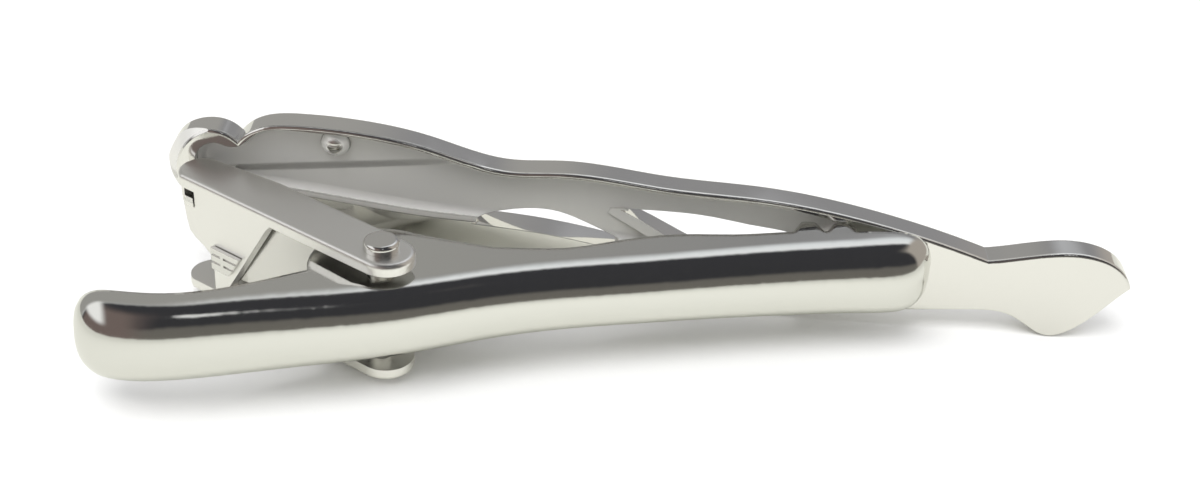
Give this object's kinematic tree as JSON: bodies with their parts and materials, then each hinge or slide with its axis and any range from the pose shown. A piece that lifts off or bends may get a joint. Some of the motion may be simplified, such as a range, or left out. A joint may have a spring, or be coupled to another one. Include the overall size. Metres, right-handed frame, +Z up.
{
  "type": "tie clip",
  "caption": "Sprung tie clip: a wavy openwork front plate with a hinged half-round arm that a leaf spring closes on the tie.",
  "frame": {"origin": "bottom centre of the bounding box, on the surface the clip lies on with its long edge down", "axes": "+X along the plate from its head, over the hinge, to its tail; +Y out of the plate's front face; +Z up, along the hinge axis"},
  "size_m": [0.0618, 0.0176, 0.0111],
  "materials": {
    "cast_plating": "polished silver plating on a casting",
    "bracket_plating": "polished silver plating on sheet",
    "rivet_plating": "polished silver plating on a formed head",
    "arm_plating": "polished silver plating on sheet",
    "spring_steel": "plain spring strip"
  },
  "bodies": {
    "frame": {"front_plate": "cast_plating", "hinge_bracket": "bracket_plating", "hinge_rivet": "rivet_plating", "return_spring": "spring_steel"},
    "arm": {"clip_arm": "arm_plating"}
  },
  "joints": [
    {"name": "arm hinge", "type": "hinge", "parent": "frame", "child": "arm", "pos_m": [-0.0146, -0.0018, 0.00456], "axis": [0, 0, -1], "range_deg": [0, 22], "stiffness_Nm_per_rad": 0.1, "springref_deg": -20.05, "deforming": ["return_spring"]}
  ]
}
